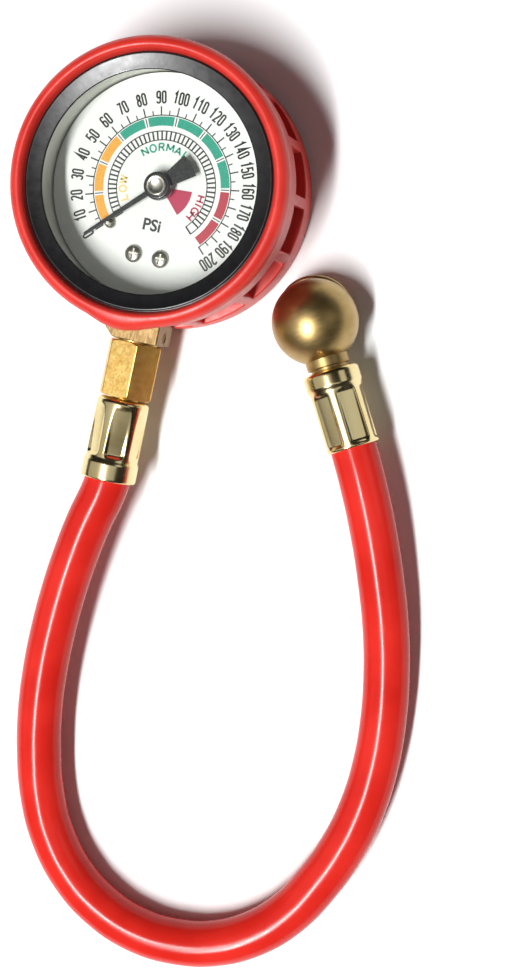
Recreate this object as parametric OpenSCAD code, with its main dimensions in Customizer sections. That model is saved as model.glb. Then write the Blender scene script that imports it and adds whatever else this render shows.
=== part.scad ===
// Tyre pressure gauge with a short rubber hose and a ball chuck.
// A 63 mm Bourdon tube gauge lies on its back in a ribbed rubber boot. Its brass stem
// points towards -Y. The hose leaves the stem, loops round and ends in the ball chuck.
// Origin: on the resting surface, under the centre of the dial. +Z comes out of the dial
// and +Y is the top of the dial. All sizes are millimetres.

/* [Boot] */
// Largest diameter of the boot, over its front bead
boot_d = 77.8; // [77:0.2:79.4]
// Height of the boot, from the resting surface to the top of the bead
boot_h = 37; // [36.6:0.1:38]
// Thickness of the rubber bead round the bezel
bead_wall = 3.4; // [3:0.1:4.4]
// How far the bead swells out over the stem
bead_swell = 1.3; // [0.6:0.1:1.6]
// How much further out the bead stands than the rear flange and the ribs
rear_step = 0.65; // [0.3:0.05:1.5]
// Depth of the pockets between the ribs
pocket_depth = 3.05; // [1.5:0.05:4]
// Number of ribs around the boot
rib_count = 15; // [9:2:21]
// Width of one rib
rib_w = 3; // [2:0.25:4]
// Room round the heads of the case screws, in the relief inside the boot's back
screw_room = 1; // [0.5:0.1:3]
// Thickness of the rubber behind that relief
back_skin = 0.9; // [0.7:0.05:0.95]

/* [Case and bezel] */
// Width of the flange round the mouth of the steel case
rim_w = 1.9; // [1.5:0.1:2.5]
// Thickness of the case wall
case_wall = 0.8; // [0.6:0.1:0.9]
// Width of the bezel's face, from its edge to the window
bezel_w = 5.3; // [4:0.1:7]
// Thickness of the clear lens
lens_t = 1.7; // [1.2:0.1:1.8]

/* [Dial and pointer] */
// Height of the dial face
dial_z = 20.6; // [20.5:0.1:21]
// Thickness of the dial plate
dial_t = 0.8; // [0.6:0.1:0.8]
// Angle of the zero mark, counted anticlockwise from +X
zero_angle = 223; // [221:1:225]
// Length of the pointer from its hub to its tip
pointer_l = 24.8; // [23:0.1:25.6]
// Radius of the curved end of the pointer's tail
tail_l = 10.9; // [9:0.1:11.4]
// Width of the tail at its end
tail_w = 6.4; // [4:0.2:7]
// Diameter of the black pointer hub
hub_d = 7.8; // [7:0.1:8.4]
// Diameter of the two dial screws over their heads
dial_screw_d = 4.9; // [4.2:0.1:5.2]

/* [Stem and fittings] */
// Width of the brass stem block
stem_w = 15.6; // [14.6:0.1:16.2]
// Height of the stem block
stem_h = 13.4; // [12.8:0.1:14]
// Flat milled across the block's outer left corner
stem_corner = 2.6; // [1:0.1:3]
// How far the stem block stands out of the boot
stem_out = 4; // [3.8:0.1:6]
// Size across the flats of the hexagonal coupling
hex_af = 14; // [13:0.5:15]
// Length of the hexagonal part
hex_l = 15.6; // [14.8:0.1:15.8]
// Where the hexagon came to rest when it was tightened, from an edge straight up
hex_turn = 21; // [0:1:30]
// Wall of the crimped ferrules
ferrule_wall = 0.8; // [0.7:0.05:1.2]
// How much wider a ferrule stays beyond its pressed panels
ferrule_swell = 0.5; // [0.2:0.05:0.8]
// Depth that the crimp presses into the ferrule
crimp_depth = 0.6; // [0.3:0.05:0.65]
// Number of pressed panels around a ferrule
crimp_panels = 6; // [4:1:7]

/* [Hose] */
// Outer diameter of the hose
hose_d = 13; // [12.6:0.1:13]
// Bore of the hose
hose_bore = 6.5; // [6.5:0.1:7]

/* [Chuck] */
// Diameter of the brass ball
ball_d = 24; // [23.6:0.1:24.2]
// Diameter of the flange round the mouth of the chuck
mouth_d = 20.6; // [19.6:0.1:20.8]
// Diameter of the hole that takes the tyre valve
valve_hole_d = 8.4; // [8:0.1:8.8]
// Travel of the pin that opens the tyre valve
pin_travel = 1.5; // [1:0.1:1.6]

/* [Hidden] */
$fn = 96;
eps = 0.01;
gap = 0.05;          // running clearance on a radius

// Colours
red_rubber = [0.86, 0.13, 0.09];
black_gloss = [0.06, 0.06, 0.07];
brass = [0.80, 0.63, 0.30];
brass_plate = [0.84, 0.78, 0.52];
steel = [0.68, 0.68, 0.68];
nickel = [0.80, 0.80, 0.78];
white = [0.95, 0.95, 0.93];

// Boot, and the bezel that sits in its bead
boot_fit = 0.3;                  // room between the boot and what it holds
bead_r = boot_d / 2;
bead_h = 14.3;                   // height of the front bead
bead_z = boot_h - bead_h;
crown_w = 2.7;                   // half width and half height of the bead's round top
crown_h = 3.6;
rear_r = bead_r - rear_step;
pocket_r = rear_r - pocket_depth;
flange_h = 9.4;                  // height of the rear flange
boot_floor = 2.4;
bezel_r = bead_r - bead_wall - boot_fit;
lip_w = 0.6;                     // how far the bead's lip reaches over the bezel
lip_r = bezel_r - lip_w;
lip_z = boot_h - 2.5;

// Bezel, glass and case, from the lip down
bezel_t = 0.8;
bezel_skin = 0.7;
bezel_fit = 0.2;
bezel_top = lip_z - 0.1;
bezel_z = bezel_top - bezel_t;   // underside of the bezel's face
lens_z = bezel_z - lens_t;
gasket_t = 0.5;
gasket_z = lens_z - gasket_t;
rim_t = 0.8;
rim_z = gasket_z - rim_t;
bezel_hook_z = rim_z - 1.4;
bezel_seat_z = bezel_hook_z - 2 * boot_fit;  // step between the boot's two bores
window_r = bezel_r - bezel_w;
rim_r = bezel_r - bezel_skin - bezel_fit;
case_r = rim_r - rim_w;
case_in_r = case_r - case_wall;
case_corner = 2;
case_z = boot_floor + 0.2;
case_back = 1;

// Stem
stem_z = 14;                     // height of the stem's axis
stem_end = -bead_r - stem_out;
block_in = -case_in_r + 1.2;     // where the block clears the case wall
block_top = -17.6;
notch_w = stem_w + 1.2;
notch_z0 = stem_z - stem_h / 2 - 0.6;
notch_z1 = stem_z + stem_h / 2 + 1;
block_w = 13;
saddle_w = 13;
saddle_end = -9.4;
saddle_z = 7;
stem_bore_r = 4.9;
stem_bore_l = 9.4;
air_r = 1.5;
plug_r = 1.6;
plug_y = stem_end + 2.2;

// Dial hardware
dial_r = case_in_r - 0.4;
dial_screw_x = 3.9;
dial_screw_y = -19.3;
dial_screw_r = 1.2;
case_screw_x = 3.4;
case_screw_y = -21;
case_screw_r = 1.45;
case_head_r = 2.7;
relief_r = norm([case_screw_x, case_screw_y]) + case_head_r + screw_room;
arbor_r = 0.75;
blade_z = dial_z + 2.9;
blade_t = 0.4;
blade_w0 = 1.65;
blade_w1 = 0.8;
hub_h = 1.6;
cap_r = 2.75;
cap_h = 1;
peg_r = 0.5;
stop_r = 17.4;                   // distance of the stop pin from the centre
stop_off = 0.6;                  // and from the pointer's line at rest

// Movement: a sector of a 96-tooth gear drives a 12-tooth pinion
gear_m = 0.25;
pressure_angle = 20;
pinion_n = 12;
sector_n = 96;
sector_first = -2;               // teeth cut on the sector, counted from the mesh
sector_last = 11;
tooth_play = 0.05;               // thinning of each tooth, for backlash
sector_c = [0, -gear_m * (pinion_n + sector_n) / 2];
plate_t = 1.2;
back_plate_z = 7;
front_plate_z = dial_z - dial_t - 3.2;
shoulder_gap = 0.1;
gear_z = (back_plate_z + plate_t + front_plate_z) / 2 - 1;
gear_t = 1.2;
tail_r = 6;                      // from the sector's arbor to the link's pin
tail_a = -25;
link_z = gear_z + gear_t + 0.4;
link_t = 1;
link_w = 1.8;
link_eye_r = 1.3;
link_pin_r = 0.6;
tip_pin_r = 0.5;
tip_hole_r = 0.85;               // open pivot of the linkage, with its clearance
tube_r = 24;                     // radius of the Bourdon tube's centre line
tube_z = 11;
tube_w = 2.6;
tip_grip = 0.25;                 // how much wider the tip block is than the tube, each side
tube_h = 7.2;
tube_wall = 0.5;
tube_end_a = -25;
tube_sweep = 282;
tip_pin_a = -30;
tip_pin_at = tube_r - 3;
link_pin = sector_c + tail_r * [cos(tail_a), sin(tail_a)];
tip_pin = tip_pin_at * [cos(tip_pin_a), sin(tip_pin_a)];
pillars = [[-8, 3], [8.5, 3], [-7, -14.5]];
plate_pts = [[-10, 1], [-8.6, 5], [9, 5], [11, 3], [11, -3], [6.4, -16.7], [-8, -16.7],
    [-9.4, -14]];
pillar_r = 1.3;
screw_r = 0.8;
screw_head_r = 1.5;
screw_head_h = 0.8;
movement_screw_l = 3.8;
mount_screw_l = 3.6;
mount_screws = [[-4, -11.4], [4, -11.4]];
spring_in_r = 1.75;
spring_turns = 4.5;
spring_pitch = 0.85;
spring_t = 0.16;
spring_z = front_plate_z - 2.1;
spring_h = 0.7;
stud_r = 0.55;

// Hose end at the gauge
collar_r = 6.2;
collar_l = 0.5;
hex_y = stem_end - collar_l;
neck_r = 4;
tail_bore_r = 1.4;
barb_r = hose_bore / 2 - 0.3;
tail_core_r = barb_r - 0.55;
barb_l = 4.2;
hose_fit = 0.1;                  // room between the hose and a ferrule
ferrule_r = hose_d / 2 + hose_fit + ferrule_wall;
ferrule_y = hex_y - hex_l - 0.5;
ferrule_l = 23.2;
ferrule_lip = 1;

// Chuck: its frame has the hose along -Y, turned about Z, and its mouth faces downwards
chuck_at = [48.5, -27, 12.6];
chuck_turn = 30;
mouth_tilt = 30;
mouth_w = 7.2;                   // from the ball's centre to the flange
mouth_t = 1.6;
cavity_r = 6.6;
cavity_w = 1.2;
chuck_neck_r = 5.9;
seal_t = 2;
cap_step_r = 4.9;                // relief in the cap, over the seal
cap_step_w = 4.9;
seal_hole_r = 1.9;
chamber_r = 3.2;
pin_collar_r = 3.1;
pin_collar_w = -0.8;
pin_collar_t = 1;
pin_r = 1.1;
pin_tip_w = 4.8;
coil_r = 2.35;
coil_wire = 0.5;
coil_turns = 5;
chamber_w = pin_collar_w - pin_travel - coil_turns * coil_wire - 1.2;
chuck_neck_l = ball_d / 2 + 1.8;
chuck_tail_l = chuck_neck_l + 20.2;
ball_ferrule_l = 22.4;

// Route of the hose, from inside the gauge's ferrule to inside the chuck's ferrule
hose_route = [[0, -63, 14], [0, -73, 14], [0, -83, 14], [-0.6, -87, 14], [-2.7, -95, 13.8],
    [-4.8, -106, 13.4], [-6.4, -118, 12.7], [-7.3, -130, 11.8], [-7.5, -142, 10.8],
    [-6.8, -154, 9.7], [-4.9, -166, 8.7], [-1.6, -178.1, 7.8], [3.8, -189.3, 7.1],
    [12, -199, 6.8], [22.4, -206, 6.6], [34.2, -209.7, 6.6], [46.4, -209.8, 6.6],
    [58, -206.8, 6.6], [68.3, -200.7, 6.6], [76.6, -192, 6.6], [82.8, -181.1, 6.6],
    [87.4, -169.6, 6.6], [90.3, -157, 6.7], [91.3, -144, 6.9], [90.7, -131, 7.4],
    [88.8, -118, 8.2], [85.9, -105.4, 9.3], [81.8, -92.5, 10.6], [76.9, -79.6, 11.8],
    [71.4, -67.5, 12.5], [66.5, -58.2, 12.6], [61.5, -49.5, 12.6], [56.5, -40.9, 12.6]];
hose_steps = 2;
hose_sides = 12;

// ---- shared shapes ----
function arc_pts(c, r, a0, a1, n = 8) =
    [for (i = [0:n]) c + r * [cos(a0 + (a1 - a0) * i / n), sin(a0 + (a1 - a0) * i / n)]];
function ellipse_pts(c, rx, ry, a0, a1, n = 8) =
    [for (i = [0:n]) c + [rx * cos(a0 + (a1 - a0) * i / n), ry * sin(a0 + (a1 - a0) * i / n)]];
function unit(v) = v / norm(v);

// Involute tooth: half its angle at radius r
function inv(a) = tan(a) * 180 / PI - a;
function half_tooth(n, r) = let (rp = gear_m * n / 2, rb = rp * cos(pressure_angle))
    90 / n - tooth_play / 2 / rp * 180 / PI + inv(pressure_angle)
    - (r > rb ? inv(acos(rb / r)) : 0);
function tooth_pts(n, a, ra, rf, steps = 4) = concat(
    [for (i = [0:steps]) let (r = rf + (ra - rf) * i / steps)
        r * [cos(a - half_tooth(n, r)), sin(a - half_tooth(n, r))]],
    [for (i = [steps:-1:0]) let (r = rf + (ra - rf) * i / steps)
        r * [cos(a + half_tooth(n, r)), sin(a + half_tooth(n, r))]]);

// A round-ended bar between two points, and a rounded rectangle
module bar(p, q, w) {
    d = q - p;
    translate(p) rotate([0, 0, atan2(d[1], d[0])]) translate([0, -w / 2]) square([norm(d), w]);
    translate(p) circle(d = w, $fn = 32);
    translate(q) circle(d = w, $fn = 32);
}
module round_rect(l, w, r) {
    translate([-l / 2 + r, -w / 2]) square([l - 2 * r, w]);
    translate([-l / 2, -w / 2 + r]) square([l, w - 2 * r]);
    for (x = [-1, 1], y = [-1, 1])
        translate([x * (l / 2 - r), y * (w / 2 - r)]) circle(r = r, $fn = 32);
}
module along_stem() { translate([0, 0, stem_z]) rotate([90, 0, 0]) children(); }
module at_chuck() { translate(chuck_at) rotate([0, 0, chuck_turn]) children(); }
module at_mouth() { at_chuck() rotate([180 + mouth_tilt, 0, 0]) children(); }
module disc(r, z0, z1) { translate([0, 0, z0]) cylinder(r = r, h = z1 - z0); }
module slot_cross(d, l, w) {
    for (a = [0, 90]) rotate([0, 0, a]) translate([-l / 2, -w / 2, 0]) cube([l, w, d]);
}
module pan_screw(r, h, shank_r, shank_l) {
    difference() {
        union() {
            rotate_extrude() polygon(concat([[0, 0], [r, 0], [r, h * 0.25]],
                ellipse_pts([0, h * 0.25], r, h * 0.75, 10, 90, 7)));
            translate([0, 0, -shank_l]) cylinder(r = shank_r, h = shank_l + eps, $fn = 48);
        }
        translate([0, 0, h * 0.45]) slot_cross(h, r * 1.15, r * 0.26);
    }
}

// ---- boot, case and glass ----
// The bead's swelling over the stem: a short arc of the same round section.
module bead_swelling(r = 18) {
    crown = [r - crown_w, boot_h - crown_h];
    difference() {
        translate([0, r - bead_r - bead_swell, 0]) rotate_extrude() polygon(concat(
            [[0, bead_z], [crown[0], bead_z]],
            ellipse_pts(crown, crown_w, crown_h, -20, 90, 12), [[0, boot_h]]));
        translate([0, 0, bead_z - 1]) cylinder(r = bead_r - crown_w, h = bead_h + 2);
    }
}
// The boot is one rubber moulding: rear flange, ribs and a fat front bead.
module boot() {
    bore = case_r + boot_fit;
    seat = bezel_r + boot_fit;
    crown = [bead_r - crown_w, boot_h - crown_h];
    color(red_rubber) difference() {
        union() {
            rotate_extrude() polygon(concat(
                [[relief_r, boot_floor], [relief_r, back_skin], [0, back_skin], [0, 0]],
                arc_pts([rear_r - 1.5, 1.5], 1.5, -90, 0),
                arc_pts([rear_r - 0.6, flange_h - 0.6], 0.6, 0, 90, 4),
                [[pocket_r, flange_h], [pocket_r, bead_z]],
                arc_pts([rear_r - 0.8, bead_z + 0.8], 0.8, -90, -10, 4),
                ellipse_pts(crown, crown_w, crown_h, -20, 90, 12),
                ellipse_pts(crown, crown[0] - lip_r, crown_h, 100, 155, 6),
                [[lip_r, lip_z], [seat, lip_z], [seat, bezel_seat_z],
                 [bore, bezel_seat_z], [bore, boot_floor]]));
            intersection() {
                disc(rear_r, flange_h - 1, bead_z + 1);
                for (i = [0:rib_count - 1]) rotate([0, 0, -90 + i * 360 / rib_count])
                    translate([bore + 0.5, -rib_w / 2, flange_h - 1])
                        cube([rear_r, rib_w, bead_z - flange_h + 2]);
            }
            bead_swelling();
        }
        translate([-notch_w / 2, -boot_d, notch_z0])
            cube([notch_w, boot_d - bore * 0.8, notch_z1 - notch_z0]);
    }
}

// A pressed steel cup with a rolled rim, slotted at the bottom for the stem.
module case() {
    color(white) difference() {
        rotate_extrude() polygon(concat([[0, case_z]],
            arc_pts([case_r - case_corner, case_z + case_corner], case_corner, -90, 0, 6),
            [[case_r, rim_z], [rim_r, rim_z], [rim_r, gasket_z], [case_in_r, gasket_z]],
            arc_pts([case_r - case_corner, case_z + case_corner],
                case_corner - case_wall, 0, -90, 6),
            [[case_r - case_corner - 1, case_z + case_back], [0, case_z + case_back]]));
        translate([-stem_w / 2 - 0.15, -boot_d, notch_z0 + 0.3])
            cube([stem_w + 0.3, boot_d - case_in_r * 0.9, notch_z1 - notch_z0 - 0.6]);
        for (x = [-1, 1]) translate([x * case_screw_x, case_screw_y, 0])
            cylinder(r = case_screw_r + gap, h = case_z + 2, $fn = 48);
    }
}

// The black bezel snaps over the rim and holds the lens down on its gasket.
module bezel() {
    r = bezel_r;
    w = window_r;
    color(black_gloss) rotate_extrude() polygon(concat(
        [[w, bezel_z], [r - bezel_skin, bezel_z], [r - bezel_skin, rim_z - bezel_fit],
         [case_r + 0.25, rim_z - bezel_fit], [case_r + 0.25, bezel_hook_z],
         [r, bezel_hook_z]],
        arc_pts([r - 0.5, bezel_top - 0.5], 0.5, 0, 90, 4),
        arc_pts([w + 0.7, bezel_top - 0.7], 0.7, 90, 170, 5)));
}
module lens_gasket() {
    color([0.15, 0.15, 0.15]) difference() {
        disc(rim_r - 0.1, gasket_z, lens_z);
        disc(case_in_r + 0.2, gasket_z - 1, lens_z + 1);
    }
}
module lens() {
    color([0.85, 0.92, 0.95, 0.35]) disc(rim_r - 0.1, lens_z, bezel_z);
}

// ---- dial and pointer ----
module dial_plate() {
    color(white) difference() {
        disc(dial_r, dial_z - dial_t, dial_z);
        disc(arbor_r + 0.8, 0, dial_z + 1);
        for (x = [-1, 1]) translate([x * dial_screw_x, dial_screw_y, 0])
            cylinder(r = dial_screw_r + gap, h = dial_z + 1, $fn = 48);
        rotate([0, 0, zero_angle]) translate([stop_r, stop_off, 0])
            cylinder(r = peg_r + gap, h = dial_z + 1, $fn = 32);
    }
}
module dial_screws() {
    color(nickel) for (x = [-1, 1]) translate([x * dial_screw_x, dial_screw_y, dial_z])
        pan_screw(dial_screw_d / 2, 1.5, dial_screw_r, dial_t + 5);
}
// A domed rivet in the dial, with a thin peg beside the pointer at zero.
module stop_pin() {
    edge = (blade_w0 - (blade_w0 - blade_w1) * stop_r / pointer_l) / 2;
    color(nickel) rotate([0, 0, zero_angle]) {
        translate([stop_r, stop_off, dial_z - dial_t])
            cylinder(r = peg_r, h = dial_t + eps, $fn = 32);
        translate([stop_r, stop_off, dial_z]) rotate_extrude($fn = 48)
            polygon(concat([[0, 0]], ellipse_pts([0, 0], 1.7, 1.3, 0, 90, 8)));
        translate([stop_r, edge + peg_r + gap, dial_z])
            cylinder(r = peg_r, h = blade_z - dial_z + blade_t + 0.3, $fn = 32);
    }
}
// Stamped blade with a fan-shaped tail, pressed on a turned hub.
module pointer() {
    color(black_gloss) rotate([0, 0, zero_angle]) difference() {
        union() {
            translate([0, 0, blade_z]) linear_extrude(blade_t) {
                polygon([[0, blade_w0 / 2], [0, -blade_w0 / 2],
                    [pointer_l, -blade_w1 / 2], [pointer_l, blade_w1 / 2]]);
                intersection() {
                    circle(r = tail_l);
                    polygon([[-1, 1.5], [-1, -1.5],
                        [-tail_l - 2, -tail_w / 2 - 0.5], [-tail_l - 2, tail_w / 2 + 0.5]]);
                }
                circle(d = hub_d);
            }
            translate([0, 0, blade_z + blade_t - eps]) rotate_extrude() polygon(concat(
                [[0, 0], [hub_d / 2 - 0.1, 0]],
                arc_pts([hub_d / 2 - 0.6, hub_h - 0.5], 0.5, 0, 90, 5), [[0, hub_h]]));
            disc(arbor_r + 0.55, dial_z + 0.6, blade_z + eps);
        }
        disc(arbor_r + 0.02, 0, blade_z + blade_t + hub_h + 1);
    }
}
module pointer_cap() {
    z = blade_z + blade_t + hub_h - eps;
    color(nickel) translate([0, 0, z]) rotate_extrude() polygon(concat(
        [[0, 0], [cap_r, 0], [cap_r, cap_h * 0.6]],
        arc_pts([cap_r - 0.35, cap_h * 0.65], 0.35, 0, 110, 4),
        ellipse_pts([0, cap_h], cap_r - 0.75, 0.45, -15, -90, 6)));
}

// ---- movement ----
module pinion() {
    rp = gear_m * pinion_n / 2;
    color(brass) {
        disc(arbor_r, back_plate_z + 0.05, blade_z + blade_t + hub_h - 0.1);
        disc(1, back_plate_z + plate_t + shoulder_gap, front_plate_z - shoulder_gap);
        translate([0, 0, gear_z - 0.6]) linear_extrude(gear_t + 1.2)
            polygon([for (i = [0:pinion_n - 1])
                each tooth_pts(pinion_n, (i + 0.5) * 360 / pinion_n,
                    rp + gear_m, rp - 1.25 * gear_m)]);
        disc(spring_in_r - 0.02, spring_z - 0.1, spring_z + spring_h + 0.2);
    }
}
module sector_gear() {
    rp = gear_m * sector_n / 2;
    rim = rp - 1.25 * gear_m;
    step = 360 / sector_n;
    a0 = 90 - (sector_last + 0.5) * step;
    a1 = 90 - (sector_first - 0.5) * step;
    color(brass) translate([sector_c[0], sector_c[1], 0]) {
        disc(arbor_r, back_plate_z + 0.05, front_plate_z + plate_t - 0.05);
        disc(1.6, back_plate_z + plate_t + shoulder_gap, front_plate_z - shoulder_gap);
        translate([0, 0, gear_z]) linear_extrude(gear_t) difference() {
            union() {
                polygon(concat(
                    [for (i = [sector_last:-1:sector_first])
                        each tooth_pts(sector_n, 90 - i * step, rp + 0.8 * gear_m, rim)],
                    [for (i = [0:12]) (rim - 1.8) * [cos(a1 + (a0 - a1) * i / 12),
                                                   sin(a1 + (a0 - a1) * i / 12)]]));
                bar([0, 0], (rim - 1.2) * [cos(a0 + 6), sin(a0 + 6)], 1.8);
                bar([0, 0], (rim - 1.2) * [cos(a1 - 6), sin(a1 - 6)], 1.8);
                circle(r = 2.4);
                bar([0, 0], tail_r * [cos(tail_a), sin(tail_a)], 1.9);
                translate(tail_r * [cos(tail_a), sin(tail_a)]) circle(r = 1.35);
            }
            translate(tail_r * [cos(tail_a), sin(tail_a)])
                circle(r = link_pin_r + gap, $fn = 48);
        }
    }
}
// The link hangs on its own pin in the sector's tail; its other end is the open pivot.
module link() {
    color(brass) {
        translate([0, 0, link_z]) linear_extrude(link_t) difference() {
            union() {
                bar(link_pin, tip_pin, link_w);
                translate(link_pin) circle(r = link_eye_r);
                translate(tip_pin) circle(r = link_eye_r);
            }
            translate(tip_pin) circle(r = tip_hole_r, $fn = 48);
        }
        translate([link_pin[0], link_pin[1], gear_z - 0.3])
            cylinder(r = link_pin_r, h = link_z - gear_z + 0.4, $fn = 48);
    }
}
// Soldered over the free end of the tube, with a lug and a pin for the link.
module tip_block() {
    color(brass) {
        w = tube_w + 2 * tip_grip;
        h = tube_h + 2 * tip_grip;
        rotate([0, 0, tube_end_a]) translate([tube_r - w / 2, -4, tube_z - h / 2])
            cube([w, 4, h]);
        translate([0, 0, link_z - 1.9]) linear_extrude(1.7)
            bar(tip_pin, (tube_r - 0.5) * [cos(tip_pin_a), sin(tip_pin_a)], 2.4);
        translate([tip_pin[0], tip_pin[1], link_z - 0.4])
            cylinder(r = tip_pin_r, h = link_t + 1, $fn = 48);
    }
}
module flat_tube(w, h) {
    translate([-w / 2, -h / 2 + w / 2]) square([w, h - w]);
    for (s = [-1, 1]) translate([0, s * (h - w) / 2]) circle(d = w, $fn = 32);
}
module bourdon_tube() {
    color([0.78, 0.56, 0.30]) rotate([0, 0, tube_end_a]) rotate_extrude(angle = tube_sweep)
        translate([tube_r, tube_z]) difference() {
            flat_tube(tube_w, tube_h);
            flat_tube(tube_w - 2 * tube_wall, tube_h - 2 * tube_wall);
        }
}
function spiral(r0, turns, pitch, n) = [for (i = [0:n])
    let (a = 360 * turns * i / n, r = r0 + pitch * turns * i / n) r * [cos(a), sin(a)]];
module hairspring() {
    n = spring_turns * 24;
    a = spiral(spring_in_r, spring_turns, spring_pitch, n);
    b = spiral(spring_in_r + spring_t, spring_turns, spring_pitch, n);
    color([0.70, 0.66, 0.50]) translate([0, 0, spring_z]) linear_extrude(spring_h)
        polygon(concat(a, [for (i = [n:-1:0]) b[i]]));
}
module plate_outline() {
    polygon(plate_pts);
}
module movement_back_plate() {
    color(brass) difference() {
        translate([0, 0, back_plate_z]) linear_extrude(plate_t) plate_outline();
        disc(arbor_r + gap, 0, dial_z);
        translate([sector_c[0], sector_c[1], 0]) disc(arbor_r + gap, 0, dial_z);
        for (p = mount_screws) translate([p[0], p[1], 0]) disc(screw_r + gap, 0, dial_z);
    }
}
module movement_front_plate() {
    end_r = spring_in_r + spring_pitch * spring_turns + spring_t / 2;
    color(brass) {
        difference() {
            translate([0, 0, front_plate_z]) linear_extrude(plate_t) plate_outline();
            disc(arbor_r + gap, 0, dial_z);
            translate([sector_c[0], sector_c[1], 0]) disc(arbor_r + gap, 0, dial_z);
            for (p = pillars) translate([p[0], p[1], 0]) disc(screw_r + gap, 0, dial_z);
        }
        rotate([0, 0, 360 * spring_turns]) translate([end_r, 0, spring_z - 0.2])
            cylinder(r = stud_r, h = front_plate_z - spring_z + 0.3, $fn = 32);
    }
}
module movement_pillars() {
    color(brass) for (p = pillars) translate([p[0], p[1], 0]) difference() {
        disc(pillar_r, back_plate_z + plate_t, front_plate_z);
        disc(screw_r + gap, front_plate_z - 3, front_plate_z + 1);
    }
}
module slotted_screw(r, h, l) {
    difference() {
        union() {
            cylinder(r = r, h = h, $fn = 48);
            translate([0, 0, -l]) cylinder(r = screw_r, h = l + eps, $fn = 48);
        }
        translate([-r - 1, -0.15, h * 0.5]) cube([2 * r + 2, 0.3, h]);
    }
}
module movement_screws() {
    color(steel) for (p = pillars)
        translate([p[0], p[1], front_plate_z + plate_t])
            slotted_screw(screw_head_r, screw_head_h, movement_screw_l);
}
module mounting_screws() {
    color(steel) for (p = mount_screws)
        translate([p[0], p[1], back_plate_z + plate_t])
            slotted_screw(screw_head_r, screw_head_h, mount_screw_l);
}

// ---- stem ----
// The brass block carries everything: case, tube, movement, dial and hose end.
module socket_block() {
    z0 = case_z + case_back;
    color(brass) difference() {
        union() {
            difference() {
                translate([-stem_w / 2, stem_end, stem_z - stem_h / 2])
                    cube([stem_w, block_in - 1.4 - stem_end, stem_h]);
                translate([-stem_w / 2, stem_end, 0]) rotate([0, 0, 45])
                    translate(-[1, 1, 0] * stem_corner / sqrt(2))
                        cube([stem_corner * sqrt(2), stem_corner * sqrt(2), 2 * stem_z]);
            }
            translate([-block_w / 2, block_in - 2.4, stem_z - stem_h / 2])
                cube([block_w, 3.4, dial_z - dial_t - stem_z + stem_h / 2]);
            translate([-block_w / 2, block_in, z0])
                cube([block_w, block_top - block_in, dial_z - dial_t - z0]);
            translate([-saddle_w / 2, block_top - 1, z0])
                cube([saddle_w, saddle_end - block_top + 1, saddle_z - z0]);
        }
        along_stem() {
            disc(stem_bore_r, -stem_end - stem_bore_l, -stem_end + 1);
            disc(air_r, -block_top + 6.4, -stem_end);
        }
        translate([-5, block_top - 6.6, 12]) rotate([0, 90, 0])
            cylinder(r = 0.9, h = 5, $fn = 32);
        for (x = [-1, 1]) {
            translate([x * dial_screw_x, dial_screw_y, 13.4])
                cylinder(r = dial_screw_r + gap, h = dial_z, $fn = 48);
            translate([x * case_screw_x, case_screw_y, 0])
                cylinder(r = case_screw_r + gap, h = 9.4, $fn = 48);
        }
        for (p = mount_screws) translate([p[0], p[1], 4.2])
            cylinder(r = screw_r + gap, h = 9, $fn = 48);
        translate([stem_w / 2 - 1, plug_y, stem_z]) rotate([0, 90, 0])
            cylinder(r = plug_r + gap, h = 2, $fn = 48);
    }
}
module side_plug() {
    color(brass) translate([stem_w / 2 - 1, plug_y, stem_z]) rotate([0, 90, 0])
        rotate_extrude($fn = 48) polygon([[0, 0], [plug_r, 0], [plug_r, 0.9],
            [plug_r - 0.3, 1.1], [plug_r - 0.6, 0.8], [0, 0.7]]);
}
module case_screws() {
    color(steel) for (x = [-1, 1]) translate([x * case_screw_x, case_screw_y, case_z])
        rotate([180, 0, 0]) pan_screw(case_head_r, 1.5, case_screw_r, 6.2);
}

// ---- hose ends ----
function barbs(y0, n) = [for (i = [0:n - 1])
    each [[tail_core_r, y0 + i * barb_l], [barb_r, y0 + i * barb_l + 0.01],
          [barb_r, y0 + i * barb_l + 0.6], [tail_core_r, y0 + (i + 1) * barb_l - 0.6]]];
// Hexagon with a threaded spigot for the stem and a barbed tail for the hose.
module hex_coupling() {
    r = hex_af / 2 / cos(30);
    y0 = -hex_y;
    y1 = y0 + hex_l;
    tail_y = -ferrule_y + ferrule_lip + 1.6;
    color(brass) along_stem() difference() {
        union() {
            disc(stem_bore_r - gap, -stem_end - stem_bore_l + 0.4, -stem_end + eps);
            disc(collar_r, -stem_end, y0 + eps);
            intersection() {
                translate([0, 0, y0]) rotate([0, 0, 30 - hex_turn])
                    cylinder(r = r, h = hex_l, $fn = 6);
                rotate_extrude() polygon([[0, y0], [r - 0.9, y0], [r, y0 + 0.7],
                    [r, y1 - 0.7], [r - 0.9, y1], [0, y1]]);
            }
            disc(neck_r, y1 - eps, tail_y);
            rotate_extrude() polygon(concat([[0, tail_y - eps], [tail_core_r, tail_y - eps]],
                barbs(tail_y + 0.6, 4), [[tail_core_r, tail_y + 18.4], [0, tail_y + 18.4]]));
        }
        disc(tail_bore_r, 0, tail_y + 20);
    }
}
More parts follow.
